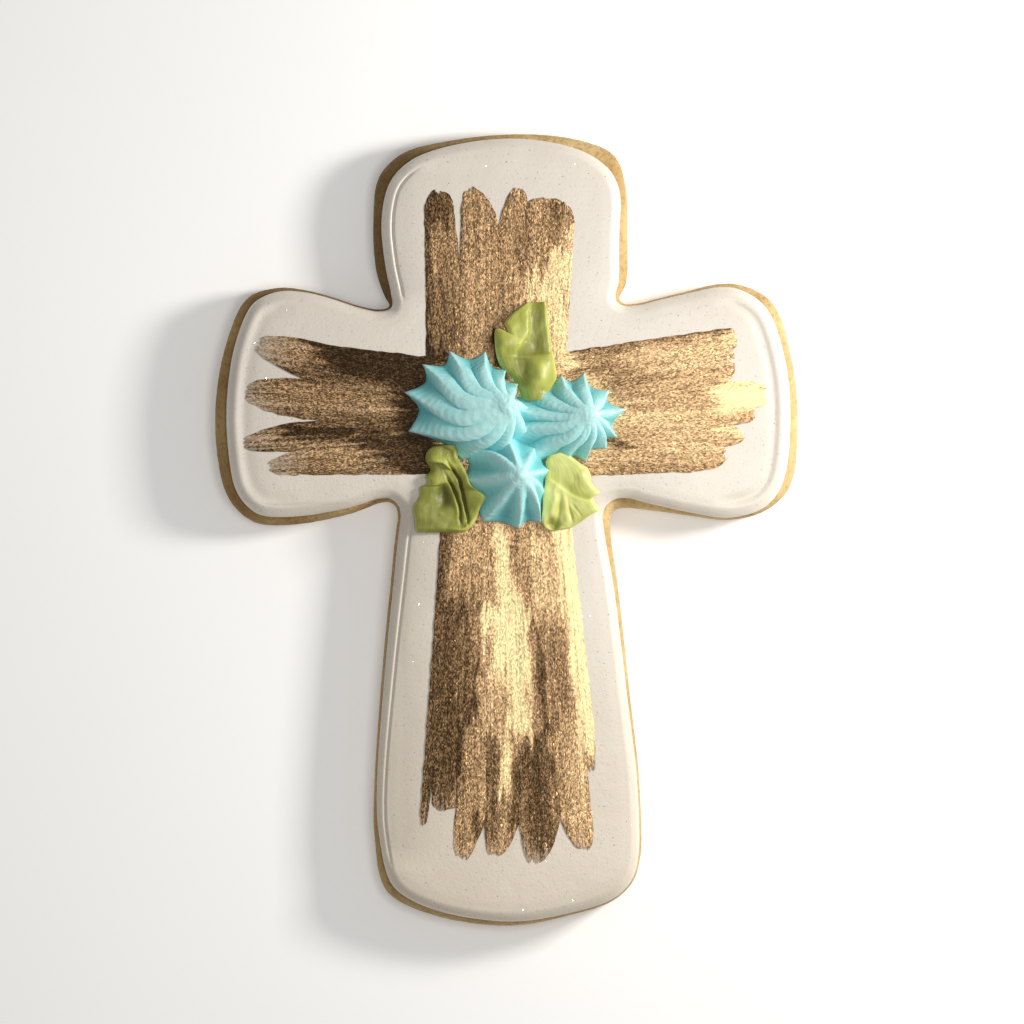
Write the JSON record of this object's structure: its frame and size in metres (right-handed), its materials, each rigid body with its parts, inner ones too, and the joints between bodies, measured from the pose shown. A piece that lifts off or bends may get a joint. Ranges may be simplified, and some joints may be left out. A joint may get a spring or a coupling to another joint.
{
  "type": "decorated sugar cookie",
  "caption": "Edible cross-shaped cut-out sugar cookie with smooth white icing, brushed gold paint, piped blue flowers and ruffled green leaves.",
  "frame": {"origin": "middle of the cookie's outline, on its underside", "axes": "+Y along the long arm towards its short end, +X towards the right arm seen from the iced side, +Z out of the iced side"},
  "size_m": [0.0842, 0.1142, 0.0148],
  "materials": {
    "baked_dough": "baked, dry and finely pitted",
    "white_icing": "smooth satin with fine glitter",
    "gold_paint": "brushed lustre dust",
    "blue_icing": "matte, slightly translucent",
    "green_icing": "matte, slightly translucent"
  },
  "bodies": {
    "root": {"cookie_base": "baked_dough", "white_icing": "white_icing", "gold_brushwork": "gold_paint", "flower_left": "blue_icing", "flower_right": "blue_icing", "flower_lower": "blue_icing", "leaf_top": "green_icing", "leaf_left": "green_icing", "leaf_right": "green_icing"}
  },
  "joints": []
}
